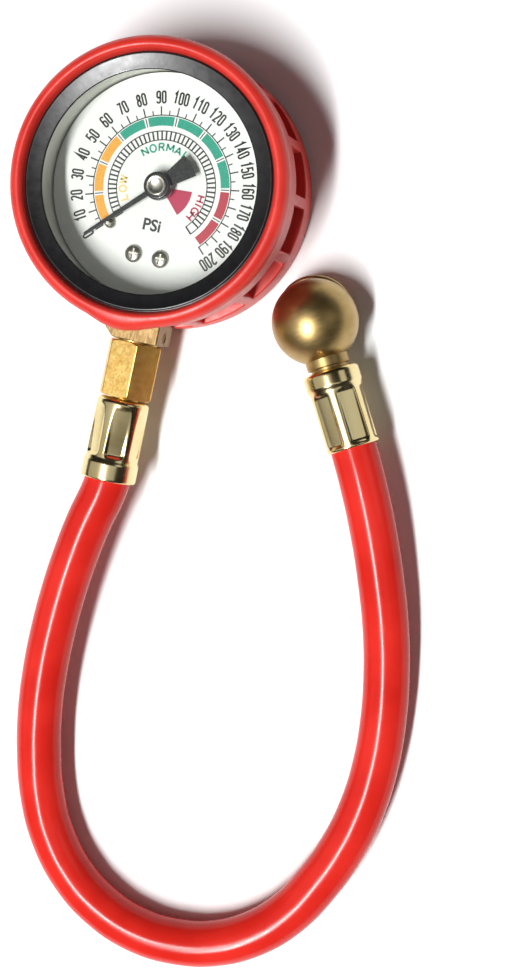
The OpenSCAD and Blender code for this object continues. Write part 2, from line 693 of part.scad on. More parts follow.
// A brass sleeve, rolled in at one end and pressed on the hose in long rounded panels.
// y0 is its rolled end, and the panels run from p0 to p1, counted from y0. The sleeve
// has radius r0 there and r1 at the other end, and turn rolls the panels about it.
module ferrule(y0, l, p0, p1, r0, r1, turn) {
    r = ferrule_r;
    step = y0 + (r0 < r1 ? p1 + 0.3 : p0 - 1.5);
    in_r = hose_d / 2 + hose_fit;
    color(brass_plate) difference() {
        rotate_extrude() polygon(concat(
            [[neck_r + gap, y0]], arc_pts([r0 - 1.4, y0 + 1.4], 1.4, -90, 0, 6),
            [[r0, step], [r1, step + 1.2], [r1, y0 + l - 0.4], [r1 - 0.3, y0 + l],
             [in_r, y0 + l],
             [in_r, y0 + ferrule_lip], [neck_r + gap, y0 + ferrule_lip]]));
        for (i = [0:crimp_panels - 1]) rotate([0, 0, 90 - turn + i * 360 / crimp_panels])
            translate([r - crimp_depth, 0, y0 + (p0 + p1) / 2]) rotate([0, 90, 0])
                linear_extrude(3) round_rect(p1 - p0, 5, 1.4);
    }
}
module ferrule_gauge_end() {
    along_stem() ferrule(-ferrule_y, ferrule_l, 2, 16.6, ferrule_r,
        ferrule_r + ferrule_swell, 20);
}

function spline_pt(a, b, c, d, t) = 0.5 * ((2 * b) + (c - a) * t
    + (2 * a - 5 * b + 4 * c - d) * t * t + (3 * b - a - 3 * c + d) * t * t * t);
function smooth(p, n) = concat([for (i = [0:len(p) - 2]) for (k = [0:n - 1])
    spline_pt(p[max(i - 1, 0)], p[i], p[i + 1], p[min(i + 2, len(p) - 1)], k / n)],
    [p[len(p) - 1]]);
function heading(p, i) = unit(p[min(i + 1, len(p) - 1)] - p[max(i - 1, 0)]);
function ring(c, t, r, sides) = let (s = unit(cross(t, [0, 0, 1])), u = cross(s, t))
    [for (k = [0:sides - 1]) c + r * (cos(360 * k / sides) * s + sin(360 * k / sides) * u)];
// Rubber hose: a round tube with its bore, swept along the route.
module hose() {
    p = smooth(hose_route, hose_steps);
    n = len(p);
    s = hose_sides;
    pts = concat([for (i = [0:n - 1]) each ring(p[i], heading(p, i), hose_d / 2, s)],
        [for (i = [0:n - 1]) each ring(p[i], heading(p, i), hose_bore / 2 / cos(180 / s), s)]);
    q = n * s;
    walls = [for (i = [0:n - 2], k = [0:s - 1]) let (a = i * s + k, b = i * s + (k + 1) % s)
        each [[a, b, b + s], [a, b + s, a + s],
              [q + a, q + b + s, q + b], [q + a, q + a + s, q + b + s]]];
    ends = [for (k = [0:s - 1]) let (b = (k + 1) % s, e = (n - 1) * s)
        each [[k, q + b, b], [k, q + k, q + b],
              [e + k, e + b, q + e + b], [e + k, q + e + b, q + e + k]]];
    color(red_rubber) polyhedron(points = pts, faces = concat(walls, ends));
}

// ---- chuck ----
module along_chuck() { at_chuck() rotate([90, 0, 0]) children(); }
module ferrule_ball_end() {
    along_chuck() ferrule(chuck_neck_l, ball_ferrule_l, 6.2, ball_ferrule_l + 2,
        ferrule_r + ferrule_swell, ferrule_r, 30);
}
// Turned brass ball with its barbed tail. The cavity behind the mouth holds the seal.
module ball_body() {
    n = chuck_neck_r;
    l = chuck_neck_l;
    tail_y = l + ferrule_lip + 1.6;
    color(brass) difference() {
        union() {
            at_mouth() difference() {
                sphere(d = ball_d);
                disc(ball_d, mouth_w, ball_d);
            }
            along_chuck() rotate_extrude() polygon(concat(
                [[0, 8], [n, 8], [n, l - 2.2], [n - 0.7, l - 1.8], [n - 0.7, l - 1], [n, l - 0.7],
                 [n, l], [neck_r, l], [neck_r, tail_y], [tail_core_r, tail_y]],
                barbs(tail_y + 0.6, 4), [[tail_core_r, chuck_tail_l], [0, chuck_tail_l]]));
        }
        at_mouth() {
            disc(cavity_r, cavity_w, ball_d);
            disc(chamber_r, chamber_w, cavity_w + 1);
        }
        along_chuck() disc(tail_bore_r, 0, chuck_tail_l + 1);
    }
}
module chuck_cap() {
    r = mouth_d / 2;
    top = mouth_w + mouth_t;
    color(brass) at_mouth() rotate_extrude() polygon(concat(
        [[valve_hole_d / 2, cap_step_w], [cap_step_r, cap_step_w],
         [cap_step_r, cavity_w + seal_t], [cavity_r - gap, cavity_w + seal_t],
         [cavity_r - gap, mouth_w]],
        arc_pts([r - 0.7, mouth_w + 0.7], 0.7, -90, 0, 4),
        arc_pts([r - 0.7, top - 0.7], 0.7, 0, 90, 4),
        [[valve_hole_d / 2 + 0.6, top], [valve_hole_d / 2, top - 0.6]]));
}
module chuck_seal() {
    color([0.12, 0.12, 0.12]) at_mouth() difference() {
        disc(cavity_r - 0.1, cavity_w, cavity_w + seal_t);
        disc(seal_hole_r, 0, cavity_w + seal_t + 1);
    }
}
// Spring-loaded pin that opens the tyre's valve core.
module depressor_pin() {
    color(brass) at_mouth() rotate_extrude($fn = 48) polygon([
        [0, pin_collar_w - 1.4], [0.9, pin_collar_w - 1.4], [1.2, pin_collar_w],
        [pin_collar_r, pin_collar_w], [pin_collar_r, pin_collar_w + pin_collar_t],
        [pin_r, pin_collar_w + pin_collar_t + 0.4], [pin_r, pin_tip_w - 0.3],
        [pin_r - 0.3, pin_tip_w], [0, pin_tip_w]]);
}
module chuck_spring() {
    n = coil_turns * 12;
    s = 8;
    z0 = chamber_w + coil_wire / 2 + 0.05;
    z1 = pin_collar_w - coil_wire / 2 - 0.05;
    p = [for (i = [0:n]) let (a = 360 * coil_turns * i / n)
        [coil_r * cos(a), coil_r * sin(a), z0 + (z1 - z0) * i / n]];
    pts = [for (i = [0:n]) each ring(p[i], heading(p, i), coil_wire / 2, s)];
    walls = [for (i = [0:n - 1], k = [0:s - 1]) let (a = i * s + k, b = i * s + (k + 1) % s)
        each [[a, b, b + s], [a, b + s, a + s]]];
    ends = [for (k = [1:s - 2]) each [[0, k + 1, k], [n * s, n * s + k, n * s + k + 1]]];
    color(steel) at_mouth() polyhedron(points = pts, faces = concat(walls, ends));
}

boot();
case();
bezel();
lens_gasket();
lens();
dial_plate();
dial_screws();
stop_pin();
pointer();
pointer_cap();
pinion();
sector_gear();
link();
tip_block();
bourdon_tube();
hairspring();
movement_back_plate();
movement_front_plate();
movement_pillars();
movement_screws();
mounting_screws();
socket_block();
side_plug();
case_screws();
hex_coupling();
ferrule_gauge_end();
hose();
ferrule_ball_end();
ball_body();
chuck_cap();
chuck_seal();
depressor_pin();
chuck_spring();
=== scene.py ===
import math

import bmesh
import bpy
from mathutils import Matrix, Vector


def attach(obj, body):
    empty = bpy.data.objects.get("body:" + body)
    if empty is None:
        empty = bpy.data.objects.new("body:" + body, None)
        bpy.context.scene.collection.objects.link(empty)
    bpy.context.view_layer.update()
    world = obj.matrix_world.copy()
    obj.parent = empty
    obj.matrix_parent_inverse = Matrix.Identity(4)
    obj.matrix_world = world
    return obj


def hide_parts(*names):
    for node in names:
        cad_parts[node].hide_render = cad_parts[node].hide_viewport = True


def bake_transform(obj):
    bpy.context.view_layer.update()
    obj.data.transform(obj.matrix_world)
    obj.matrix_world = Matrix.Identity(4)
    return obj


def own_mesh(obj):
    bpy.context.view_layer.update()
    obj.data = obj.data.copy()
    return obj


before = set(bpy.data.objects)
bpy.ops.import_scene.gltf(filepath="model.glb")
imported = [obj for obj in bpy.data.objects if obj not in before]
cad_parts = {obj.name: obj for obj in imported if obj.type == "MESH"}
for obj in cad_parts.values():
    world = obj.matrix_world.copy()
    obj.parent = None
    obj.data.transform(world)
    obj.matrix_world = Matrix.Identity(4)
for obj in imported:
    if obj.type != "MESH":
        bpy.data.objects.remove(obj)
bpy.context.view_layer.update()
mm = 0.001

# ---- Camera ----
# Hand-held over the table, half a metre above the gauge and a little to its right.
bpy.ops.object.select_all(action="DESELECT")
bpy.ops.object.camera_add(
    location=(0.14434, -0.02263, 0.50055),
    rotation=[math.radians(a) for a in (-3.3598, 12.9149, 12.5561)],
)
camera = bpy.context.object
camera.name = "camera"
camera.data.lens = 66.39
camera.data.sensor_width = 36
bpy.context.scene.camera = camera

# ---- Rubber boot ----
# One moulding of soft red PVC: a rear flange, fifteen ribs and a fat bead in front. It is
# stretched over the bezel, holds by its own grip, and is cut open for the brass stem.
rear, pocket = 38.25, 35.2
flange_top, bead_under = 9.4, 22.7
rib_step, half_rib = 360 / 15, 2.25
bead_r, bead_z, bead_rise = 36.2, 33.4, 3.6
notch_middle, notch_size = (0, -51.98 * mm, 14.2 * mm), (16.8 * mm, 51.64 * mm, 15 * mm)
swell_angle, swell_width, swell_by = 16, 2.6, 1.3


def arc(x, z, rx, rz, start, end, steps):
    turn = [math.radians(start + (end - start) * i / steps) for i in range(steps + 1)]
    return [(x + rx * math.cos(a), z + rz * math.sin(a)) for a in turn]


# A turned shape: a disc or a loop, extruded and scaled through its outline's
# (radius, height) pairs. A closed outline comes back to where it began.
def turned(name, outline, steps=192, closed=False, turn=0.0):
    if bpy.context.object:
        bpy.ops.object.select_all(action="DESELECT")
    r, z = outline[0]
    bpy.ops.mesh.primitive_circle_add(
        vertices=steps, radius=r * mm, location=(0, 0, z * mm),
        rotation=(0, 0, math.radians(turn)), fill_type="NOTHING" if closed else "NGON",
    )
    piece = bpy.context.object
    piece.name = piece.data.name = name
    bpy.ops.object.transform_apply(location=True, rotation=True, scale=True)
    bpy.ops.object.mode_set(mode="EDIT")
    bpy.ops.mesh.select_all(action="SELECT")
    for r1, z1 in outline[1:] + (outline[:1] if closed else []):
        bpy.ops.mesh.extrude_region_move(
            TRANSFORM_OT_translate={"value": (0, 0, (z1 - z) * mm)}
        )
        bpy.ops.transform.resize(value=(r1 / r, r1 / r, 1), center_override=(0, 0, z1 * mm))
        r, z = r1, z1
    bpy.ops.mesh.select_all(action="SELECT")
    bpy.ops.mesh.remove_doubles(threshold=1e-6)
    bpy.ops.mesh.normals_make_consistent(inside=False)
    bpy.ops.object.mode_set(mode="OBJECT")
    return piece


# Selects, in edit mode, only the faces or edges that pass a test.
def pick(piece, kind, test):
    bpy.context.view_layer.objects.active = piece
    if piece.mode != "EDIT":
        bpy.ops.object.mode_set(mode="EDIT")
    bpy.ops.mesh.select_mode(type=kind)
    bpy.ops.mesh.select_all(action="DESELECT")
    mesh = bmesh.from_edit_mesh(piece.data)
    for part in mesh.faces if kind == "FACE" else mesh.edges:
        if test(part):
            part.select_set(True)
    bmesh.update_edit_mesh(piece.data)


# Cuts one piece with another, or joins the two, and takes the other away.
def cut(piece, tool, operation="DIFFERENCE"):
    bpy.ops.object.select_all(action="DESELECT")
    bpy.context.view_layer.objects.active = piece
    piece.select_set(True)
    change = piece.modifiers.new("cut", "BOOLEAN")
    change.operation = operation
    change.solver = "EXACT"
    change.object = tool
    bpy.ops.object.modifier_apply(modifier="cut")
    bpy.data.objects.remove(tool)


# Smooth shading up to an edge angle, a finish, and the body that carries the piece.
def dress(piece, finish, body, nodes=(), angle=35):
    if piece.mode == "EDIT":
        bpy.ops.object.mode_set(mode="OBJECT")
    bpy.ops.object.select_all(action="DESELECT")
    bpy.context.view_layer.objects.active = piece
    piece.select_set(True)
    bpy.ops.object.shade_smooth_by_angle(angle=math.radians(angle))
    piece.data.materials.clear()
    piece.data.materials.append(finish)
    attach(piece, body)
    if nodes:
        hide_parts(*nodes)


def material(name, color, roughness, metallic=0.0):
    made = bpy.data.materials.new(name)
    made.use_nodes = True
    shader = made.node_tree.nodes["Principled BSDF"]
    shader.inputs["Base Color"].default_value = (*color, 1)
    shader.inputs["Roughness"].default_value = roughness
    shader.inputs["Metallic"].default_value = metallic
    return made


# Noise in the piece's own coordinates: cells per metre, stretched along its axes.
def grain(made, scale, stretch=(1, 1, 1), detail=3.0, turn=(0, 0, 0)):
    nodes, links = made.node_tree.nodes, made.node_tree.links
    place = nodes.new("ShaderNodeTexCoord")
    mapping = nodes.new("ShaderNodeMapping")
    mapping.vector_type = "TEXTURE" if any(turn) else "POINT"
    mapping.inputs["Scale"].default_value = stretch
    mapping.inputs["Rotation"].default_value = turn
    noise = nodes.new("ShaderNodeTexNoise")
    noise.inputs["Scale"].default_value = scale
    noise.inputs["Detail"].default_value = detail
    links.new(place.outputs["Object"], mapping.inputs["Vector"])
    links.new(mapping.outputs["Vector"], noise.inputs["Vector"])
    return noise.outputs["Fac"]


# Colour that drifts from low to high over the middle of the noise.
def tint(made, fac, low, high):
    nodes, links = made.node_tree.nodes, made.node_tree.links
    ramp = nodes.new("ShaderNodeValToRGB")
    for stop, position, color in zip(ramp.color_ramp.elements, (0.35, 0.65), (low, high)):
        stop.position = position
        stop.color = (*color, 1)
    links.new(fac, ramp.inputs["Fac"])
    links.new(ramp.outputs["Color"], nodes["Principled BSDF"].inputs["Base Color"])


# Roughness that drifts from low to high with the noise.
def sheen_range(made, fac, low, high):
    nodes, links = made.node_tree.nodes, made.node_tree.links
    spread = nodes.new("ShaderNodeMapRange")
    for end, value in (("From Min", 0.3), ("From Max", 0.7), ("To Min", low), ("To Max", high)):
        spread.inputs[end].default_value = value
    links.new(fac, spread.inputs["Value"])
    links.new(spread.outputs["Result"], nodes["Principled BSDF"].inputs["Roughness"])


# Fine relief in the surface, as deep as given in metres.
def relief(made, fac, depth):
    nodes, links = made.node_tree.nodes, made.node_tree.links
    bump = nodes.new("ShaderNodeBump")
    bump.inputs["Distance"].default_value = depth
    links.new(fac, bump.inputs["Height"])
    links.new(bump.outputs["Normal"], nodes["Principled BSDF"].inputs["Normal"])


boot = turned("rubber_boot", [
    *arc(rear - 1.5, 1.5, 1.5, 1.5, -90, 0, 8),
    (rear, flange_top), (rear, bead_under), (rear, 23.4),
    *arc(bead_r, bead_z, 2.7, bead_rise, -20, 90, 22),
    *arc(bead_r, bead_z, 1.6, bead_rise, 100, 155, 10),
    (34.6, 34.5), (35.5, 34.5), (35.5, 28.6), (32.7, 28.6), (32.7, 2.4),
    (24.97, 2.4), (24.97, 0.9),
], steps=240, turn=0.75)


# Degrees to the middle of the nearest rib
def from_rib(spot):
    angle = (math.degrees(math.atan2(spot.y, spot.x)) + 90) % rib_step
    return min(angle, rib_step - angle)


def in_pocket(face):
    spot = face.calc_center_median()
    band = flange_top * mm < spot.z < bead_under * mm
    return band and spot.xy.length > (rear - 1.25) * mm and from_rib(spot) > half_rib


def pocket_edge(edge):
    middle = (edge.verts[0].co + edge.verts[1].co) / 2
    band = (flange_top - 0.1) * mm < middle.z < (bead_under + 0.1) * mm
    sharp = edge.calc_face_angle(0) > 0.9
    return band and sharp and middle.xy.length > (pocket - 1.2) * mm


pick(boot, "FACE", in_pocket)
bpy.ops.mesh.extrude_region_move()
bpy.ops.transform.resize(value=(pocket / rear, pocket / rear, 1), center_override=(0, 0, 0))
pick(boot, "EDGE", pocket_edge)
bpy.ops.mesh.bevel(offset=0.45 * mm, segments=3, affect="EDGES")
bpy.ops.object.mode_set(mode="OBJECT")
bpy.ops.mesh.primitive_cube_add(size=1, location=notch_middle)
notch = bpy.context.object
notch.scale = notch_size
cut(boot, notch)

# The bead swells a little over the stem
swollen = boot.vertex_groups.new(name="swollen")
for vert in boot.data.vertices:
    away = abs(math.degrees(math.atan2(vert.co.x, -vert.co.y))) / swell_angle
    out = (vert.co.xy.length / mm - bead_r) / swell_width
    if vert.co.z > (bead_under - 0.2) * mm and away < 1 and out > 0:
        ease = (1 - away * away) ** 2 * min(out, 1)
        swollen.add([vert.index], ease, "REPLACE")
bpy.ops.object.select_all(action="DESELECT")
bpy.context.view_layer.objects.active = boot
swell = boot.modifiers.new("swell", "DISPLACE")
swell.direction = "Y"
swell.mid_level = 0
swell.strength = -swell_by * mm
swell.vertex_group = "swollen"
bpy.ops.object.modifier_apply(modifier="swell")

boot_red = material("boot_red_rubber", (0.64, 0.028, 0.018), 0.4)
tint(boot_red, grain(boot_red, 70), (0.58, 0.022, 0.014), (0.68, 0.034, 0.022))
sheen_range(boot_red, grain(boot_red, 500), 0.35, 0.46)
relief(boot_red, grain(boot_red, 1500, detail=2), 0.00003)
dress(boot, boot_red, "gauge", ["boot"])

# ---- Bezel ----
# A pressed ring with a gloss black finish, snapped over the rim of the case. It holds the
# lens down on its gasket.
bezel_ring = turned("black_bezel_ring", [
    (34.5, 33.6), (34.5, 30.4), (32.65, 30.4), (32.65, 29.2), (35.2, 29.2),
    *arc(34.7, 33.9, 0.5, 0.5, 0, 90, 6), *arc(33.95, 34.45, 0.5, 0.5, 0, 104, 8),
    (33.65, 34.89), (30.4, 34.11), *arc(30.25, 33.75, 0.35, 0.35, 104, 180, 6), (29.9, 33.6),
], steps=240, closed=True)
black_gloss = material("bezel_black_enamel", (0.006, 0.006, 0.007), 0.27)
sheen_range(black_gloss, grain(black_gloss, 400), 0.26, 0.32)
relief(black_gloss, grain(black_gloss, 700, detail=1), 0.00001)
dress(bezel_ring, black_gloss, "gauge", ["bezel"])

# ---- Lens ----
# A flat disc of clear glass under the bezel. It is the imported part: it lets nearly all light
# through, and mirrors more of it the lower it is looked at.
lens_roughness = 0.03
mirror_straight_on, mirror_at_edge, mirror_power = 0.035, 0.85, 4
glass = bpy.data.materials.new("lens_clear")
glass.use_nodes = True
nodes, links = glass.node_tree.nodes, glass.node_tree.links
nodes.remove(nodes["Principled BSDF"])
clear = nodes.new("ShaderNodeBsdfTransparent")
clear.inputs["Color"].default_value = (0.97, 0.98, 0.97, 1)
shine = nodes.new("ShaderNodeBsdfGlossy")
shine.inputs["Roughness"].default_value = lens_roughness
slant = nodes.new("ShaderNodeLayerWeight")
steep = nodes.new("ShaderNodeMath")
steep.operation = "POWER"
steep.inputs[1].default_value = mirror_power
share = nodes.new("ShaderNodeMath")
share.operation = "MULTIPLY_ADD"
share.inputs[1].default_value = mirror_at_edge
share.inputs[2].default_value = mirror_straight_on
mix = nodes.new("ShaderNodeMixShader")
links.new(slant.outputs["Facing"], steep.inputs[0])
links.new(steep.outputs["Value"], share.inputs[0])
links.new(share.outputs["Value"], mix.inputs["Fac"])
links.new(clear.outputs["BSDF"], mix.inputs[1])
links.new(shine.outputs["BSDF"], mix.inputs[2])
links.new(mix.outputs["Shader"], nodes["Material Output"].inputs["Surface"])

# ---- Case, dial plate and movement ----
# A pressed steel cup with grey lacquer inside, a white dial plate on nickel-plated screws, and
# a brass movement behind it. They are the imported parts, and only get their finishes.
case_lacquer = material("case_grey_lacquer", (0.62, 0.63, 0.57), 0.38, metallic=0.35)
tint(case_lacquer, grain(case_lacquer, 90, (1, 1, 0.3)), (0.56, 0.57, 0.51), (0.69, 0.70, 0.64))
sheen_range(case_lacquer, grain(case_lacquer, 600), 0.33, 0.45)
white_dial = material("dial_white", (0.88, 0.88, 0.86), 0.45)
sheen_range(white_dial, grain(white_dial, 900), 0.4, 0.5)
brass = material("brass_machined", (0.72, 0.45, 0.13), 0.28, metallic=1.0)
tint(brass, grain(brass, 260), (0.62, 0.36, 0.10), (0.80, 0.53, 0.19))
sheen_range(brass, grain(brass, 900, (1, 6, 1)), 0.22, 0.36)
relief(brass, grain(brass, 2500, (6, 1, 6)), 0.00002)
nickel = material("nickel_satin", (0.56, 0.53, 0.47), 0.32, metallic=1.0)
tint(nickel, grain(nickel, 900), (0.48, 0.45, 0.39), (0.64, 0.61, 0.55))
sheen_range(nickel, grain(nickel, 1500), 0.26, 0.38)
steel = material("steel", (0.45, 0.45, 0.45), 0.3, metallic=1.0)
sheen_range(steel, grain(steel, 1500), 0.24, 0.38)
black_rubber = material("black_rubber", (0.02, 0.02, 0.02), 0.6)
sheen_range(black_rubber, grain(black_rubber, 1200), 0.5, 0.7)
pointer_black = material("pointer_black", (0.005, 0.005, 0.0055), 0.28)
sheen_range(pointer_black, grain(pointer_black, 1200), 0.24, 0.32)

finishes = {
    "case": case_lacquer, "dial_plate": white_dial, "lens": glass,
    "lens_gasket": black_rubber, "chuck_seal": black_rubber, "dial_screws": nickel,
    "stop_pin": nickel, "pointer_cap": nickel, "pointer": pointer_black,
    "case_screws": steel, "movement_screws": steel, "mounting_screws": steel,
}
for name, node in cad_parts.items():
    node.data.materials.clear()
    node.data.materials.append(finishes.get(name, brass))

# ---- Dial print ----
# Screen-printed ink on the white plate: the scale and its numbers in black, the zones in
# orange, green and red. Each ink is a layer 0.02 mm thick.
zero, per_psi = 223, -1.34
print_z, half_film = 20.61, 0.01
scale_r, scale_width = 19.6, 0.3
mark_in, long_out, short_out, long_width, short_width = 19.5, 22, 20.9, 0.38, 0.32
ladder_in, ladder_out, ladder_width = 12.9, 15.3, 0.28
rungs_drawn, open_rung, rung_step, rung_width = 54, 52, 5.057, 0.46
zone_r, zone_width, zone_gap, break_width = 18, 2.5, 1.8, 0.28
letter_h, letter_stroke = 2, 0.48
digit_h, digit_w, digit_pitch, digit_stroke, digit_r = 3.1, 0.9, 1.56, 0.5, 24.5


def on_scale(psi):
    return zero + per_psi * psi


def spot_at(r, angle):
    return (r * math.cos(math.radians(angle)), r * math.sin(math.radians(angle)))


def ring_line(r, start, end, step=2.0):
    count = max(2, round(abs(end - start) / step))
    return [spot_at(r, start + (end - start) * i / count) for i in range(count + 1)]


# A ribbon along the middle of each line, which is then given its width.
def inked(name, lines, width, loops=()):
    line = bpy.data.curves.new(name, "CURVE")
    line.dimensions = "2D"
    line.extrude = half_film * mm
    for spots, is_loop in [(s, False) for s in lines] + [(s, True) for s in loops]:
        spline = line.splines.new("POLY")
        spline.points.add(len(spots) - 1)
        for knot, (x, y) in zip(spline.points, spots):
            knot.co = (x * mm, y * mm, 0, 1)
        spline.use_cyclic_u = is_loop
    piece = bpy.data.objects.new(name, line)
    bpy.context.scene.collection.objects.link(piece)
    bpy.ops.object.select_all(action="DESELECT")
    bpy.context.view_layer.objects.active = piece
    piece.select_set(True)
    bpy.ops.object.convert(target="MESH")
    piece = bpy.context.object
    broad = piece.modifiers.new("width", "SOLIDIFY")
    broad.thickness = width * mm
    broad.offset = 0
    broad.use_even_offset = True
    bpy.ops.object.modifier_apply(modifier="width")
    piece.location.z = print_z * mm
    bpy.ops.object.transform_apply(location=True, rotation=True, scale=True)
    return piece


# A glyph's spots, stood upright on an arc with its top outward. It starts left of the arc's
# spot, and base is how far up the glyph the arc runs.
def on_arc(spots, r, angle, left, base):
    cx, cy = spot_at(r, angle)
    ox, oy = spot_at(1, angle)
    return [
        (cx + (x + left) * oy + (y - base) * ox, cy - (x + left) * ox + (y - base) * oy)
        for x, y in spots
    ]


def marks(name, inner, outer, angles, width):
    return inked(name, [[spot_at(inner, a), spot_at(outer, a)] for a in angles], width)


# Letters as (width, lines, loops)
bowl = [(0.85 + 0.5 * x, y) for x, y in ((0, 2), (0.7, 1.9), (1, 1.55), (0.7, 1.15), (0, 1.03))]
ring = [(0.85 + 0.85 * math.cos(a), 1 + math.sin(a)) for a in [math.pi * i / 10 for i in range(20)]]
letters = {
    "L": (1.2, [[(0, 2), (0, 0), (1.3, 0)]], []),
    "O": (1.7, [], [ring]),
    "W": (2.1, [[(0, 2), (0.5, 0)], [(0.5, 0), (1.05, 1.9)], [(1.05, 1.9), (1.6, 0)],
                [(1.6, 0), (2.1, 2)]], []),
    "N": (1.5, [[(0, 0), (0, 2)], [(0, 1.9), (1.5, 0.1)], [(1.5, 0), (1.5, 2)]], []),
    "R": (1.4, [[(0, 0), (0, 2)], [(0, 2)] + bowl + [(0, 1.03)], [(0.8, 1.03), (1.4, 0)]], []),
    "M": (1.8, [[(0, 0), (0, 2)], [(0, 1.9), (0.9, 0.5)], [(0.9, 0.5), (1.8, 1.9)],
                [(1.8, 0), (1.8, 2)]], []),
    "A": (1.7, [[(0, 0), (0.85, 1.9)], [(0.85, 1.9), (1.7, 0)], [(0.3, 0.6), (1.4, 0.6)]], []),
    "H": (1.5, [[(0, 0), (0, 2)], [(1.5, 0), (1.5, 2)], [(0, 1.03), (1.5, 1.03)]], []),
    "I": (0.1, [[(0.05, 0), (0.05, 2)]], []),
    "G": (1.6, [ring[2:18] + [(1.6, 0.4), (1.6, 1), (0.95, 1)]], []),
}


def lettered(word, r, first, pitch):
    lines, loops = [], []
    for i, letter in enumerate(word):
        wide, drawn, closed = letters[letter]
        for group, kept in ((drawn, lines), (closed, loops)):
            kept.extend(
                on_arc(spots, r, first - pitch * i, -wide / 2, letter_h / 2) for spots in group
            )
    return inked(word, lines, letter_stroke, loops)


def layer(name, pieces, finish):
    bpy.ops.object.select_all(action="DESELECT")
    for piece in pieces:
        piece.select_set(True)
    bpy.context.view_layer.objects.active = pieces[0]
    if len(pieces) > 1:
        bpy.ops.object.join()
    bpy.ops.object.shade_flat()
    whole = bpy.context.object
    whole.name = whole.data.name = name
    whole.data.materials.clear()
    whole.data.materials.append(finish)
    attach(whole, "gauge")


def ink(name, color):
    made = material(name, color, 0.32)
    tint(made, grain(made, 2500), [c * 0.9 for c in color], [c * 1.08 for c in color])
    return made


# Numbers are drawn with one even stroke
top, half = digit_h, digit_w / 2
full = arc(half, top - half, half, half, 0, 180, 8)
foot = arc(half, half, half, half, 180, 360, 8)
digits = {
    "0": ([], [full + foot]),
    "1": ([[(0.1, 2.4), (0.55, top), (0.55, 0)]], []),
    "2": ([full[::-1] + [(0.9, 2.15), (0.02, 0), (0.95, 0)]], []),
    "3": ([full[::-1] + [(0.9, 2), (0.65, 1.65), (0.35, 1.62)],
           [(0.65, 1.62), (0.9, 1.25)] + foot[::-1]], []),
    "4": ([[(0.7, 0), (0.7, top), (-0.02, 0.85), (1, 0.85)]], []),
    "5": ([[(0.88, top), (0.08, top), (0.02, 1.7), *arc(0.45, 1.5, 0.45, 0.42, 120, 0, 5)]
           + foot[::-1]], []),
    "6": ([full + foot + [(0.9, 1.3), *arc(0.45, 1.3, 0.45, 0.42, 0, 180, 6)]], []),
    "7": ([[(0, top), (0.9, top), (0.35, 0)]], []),
    "8": ([], [arc(0.45, 2.38, 0.4, 0.72, -90, 270, 16)[:-1],
               arc(0.45, 0.83, 0.45, 0.83, -90, 270, 16)[:-1]]),
}
digits["9"] = ([[(0.9 - x, top - y) for x, y in digits["6"][0][0]]], [])
strokes, rounds = [], []
for psi in range(0, 201, 10):
    number = str(psi)
    start = -(digit_pitch * len(number) - digit_pitch + digit_w) / 2
    for k, digit in enumerate(number):
        for group, kept in zip(digits[digit], (strokes, rounds)):
            kept.extend(
                on_arc(spots, digit_r, on_scale(psi), start + digit_pitch * k, top / 2)
                for spots in group
            )
numbers = inked("numbers", strokes, digit_stroke, rounds)
full_scale = on_scale(200)
scale_line = inked("scale_line", [ring_line(scale_r, zero, full_scale)], scale_width)
tens, fives = range(0, 201, 10), range(5, 200, 10)
long_marks = marks("long_marks", mark_in, long_out, [on_scale(p) for p in tens], long_width)
short_marks = marks("short_marks", mark_in, short_out, [on_scale(p) for p in fives], short_width)
ladder = inked(
    "ladder", [ring_line(r, zero, full_scale) for r in (ladder_in, ladder_out)], ladder_width
)
rungs = marks(
    "rungs", ladder_in - 0.1, ladder_out + 0.1,
    [zero - rung_step * i for i in range(rungs_drawn) if i != open_rung], rung_width,
)
breaks = marks(
    "breaks", zone_r - 1.2, zone_r + 1.2, [on_scale(p) for p in range(20, 200, 20)], break_width
)
bpy.ops.object.select_all(action="DESELECT")
bpy.ops.object.text_add(location=(0, 0, 0))
unit = bpy.context.object
unit.data.body = "PSi"
unit.data.align_x = unit.data.align_y = "CENTER"
unit.data.size = 4.5 * mm
unit.data.extrude = half_film * mm
unit.data.offset = 0.11 * mm
unit.data.resolution_u = 4
bpy.ops.object.convert(target="MESH")
unit = bpy.context.object
unit.location = (-0.5 * mm, -10.8 * mm, print_z * mm)
bpy.ops.object.transform_apply(location=True, rotation=True, scale=True)
layer("dial_print_black",
      [numbers, scale_line, long_marks, short_marks, ladder, rungs, breaks, unit],
      ink("ink_black", (0.010, 0.011, 0.012)))


def zone(name, first, last):
    return inked(name, [
        ring_line(zone_r, on_scale(p) - zone_gap, on_scale(p + 20) + zone_gap, 1.5)
        for p in range(first, last, 20)
    ], zone_width)


layer("dial_print_orange", [zone("low_zone", 0, 60)], ink("ink_orange", (0.90, 0.40, 0.04)))
layer("dial_print_amber", [lettered("LOW", 11.1, 206, 13)], ink("ink_amber", (0.93, 0.66, 0.22)))
layer("dial_print_green", [zone("normal_zone", 60, 160), lettered("NORMAL", 10.9, 128, 13)],
      ink("ink_green", (0.008, 0.34, 0.23)))
layer("dial_print_red", [zone("high_zone", 160, 200)], ink("ink_red", (0.48, 0.022, 0.05)))
fan = inked("warning_fan", [ring_line(6, 3, -48, 1.5)], 5.6)
layer("dial_print_crimson", [fan, lettered("HIGH", 11.6, -5, 9)],
      ink("ink_crimson", (0.50, 0.018, 0.08)))

# ---- Stem block and hexagon ----
# A brass block that carries the whole gauge, milled from bar, and a hexagon screwed in it.
# Their arrises are broken with a file.
stem_z = 14
block_half, block_half_h, block_end = 7.8, 6.7, -42.88
shows_from, reaches_past = -31.5, -31.9
hex_corner_r, long_edge = 8.083, 5


